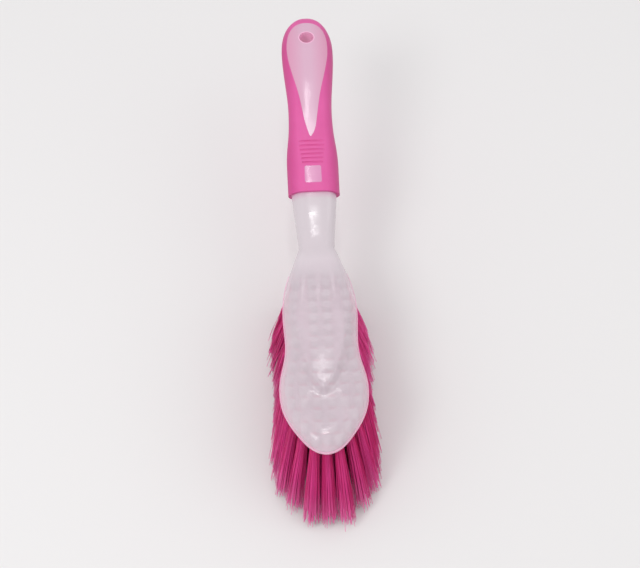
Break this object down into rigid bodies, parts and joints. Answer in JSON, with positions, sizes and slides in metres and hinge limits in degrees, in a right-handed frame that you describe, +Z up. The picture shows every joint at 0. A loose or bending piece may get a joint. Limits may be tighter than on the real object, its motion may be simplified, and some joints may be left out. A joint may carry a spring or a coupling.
{
  "type": "hand broom",
  "caption": "Hand broom with a waisted clear head, fanned bristle tufts and a curved soft-grip handle with a hanging hole, for sweeping dust by hand",
  "frame": {"origin": "Middle of the broom's length and width, on the plane of the trimmed bristle tips.", "axes": "+X across the broom to the right seen from above with the handle away from the viewer, +Y along the broom from the head to the end of the handle, +Z up from the bristle tips to the handle."},
  "size_m": [0.0646, 0.3018, 0.0885],
  "materials": {
    "clear_plastic": "Frosted clear polypropylene, smooth and slightly glossy.",
    "soft_grip": "Pink soft-touch moulding with a satin sheen.",
    "bristle": "Magenta plastic filaments, separate tufts with ragged ends.",
    "anchor_wire": "Plain flat wire anchors, hidden in the tuft holes."
  },
  "bodies": {
    "root": {"brush_body": "clear_plastic", "soft_grip": "soft_grip", "tuft_row_01": "bristle", "tuft_row_02": "bristle", "tuft_row_03": "bristle", "tuft_row_04": "bristle", "tuft_row_05": "bristle", "tuft_row_06": "bristle", "tuft_row_07": "bristle", "tuft_row_08": "bristle", "tuft_row_09": "bristle", "tuft_row_10": "bristle", "tuft_row_11": "bristle", "tuft_row_12": "bristle", "tuft_row_13": "bristle", "tuft_row_14": "bristle", "tuft_row_15": "bristle", "tuft_anchors": "anchor_wire"}
  },
  "joints": []
}
